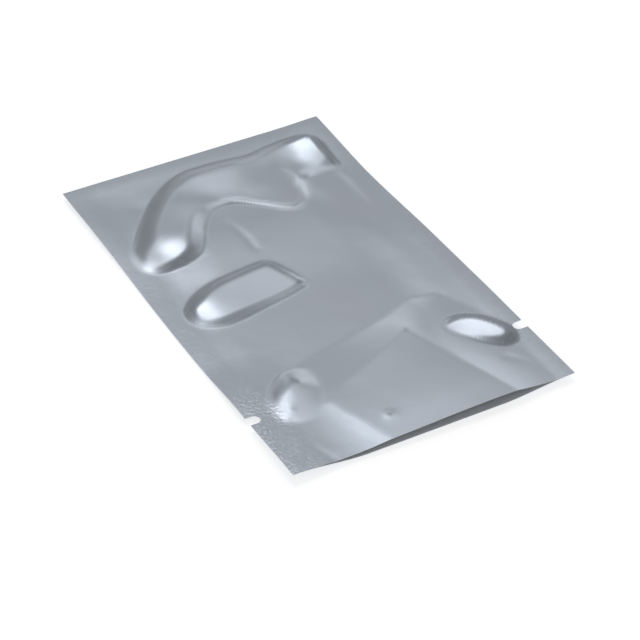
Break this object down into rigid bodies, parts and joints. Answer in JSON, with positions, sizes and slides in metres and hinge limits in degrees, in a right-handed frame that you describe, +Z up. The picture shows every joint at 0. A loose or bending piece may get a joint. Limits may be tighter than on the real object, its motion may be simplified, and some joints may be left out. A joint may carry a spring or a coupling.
{
  "type": "anti static shielding bag",
  "caption": "Flat open-topped static shielding bag of heat-sealed metallised film, with tear notches and soft creases.",
  "frame": {"origin": "under the middle of the bag, on the surface it lies on", "axes": "+Y towards the sealed end, -Y towards the open mouth, +X towards the right side seen from the mouth, +Z up"},
  "size_m": [0.06, 0.1, 0.0025],
  "materials": {
    "metallised_film": "glossy silver-grey, slightly see-through"
  },
  "bodies": {
    "root": {"bag": "metallised_film"}
  },
  "joints": []
}
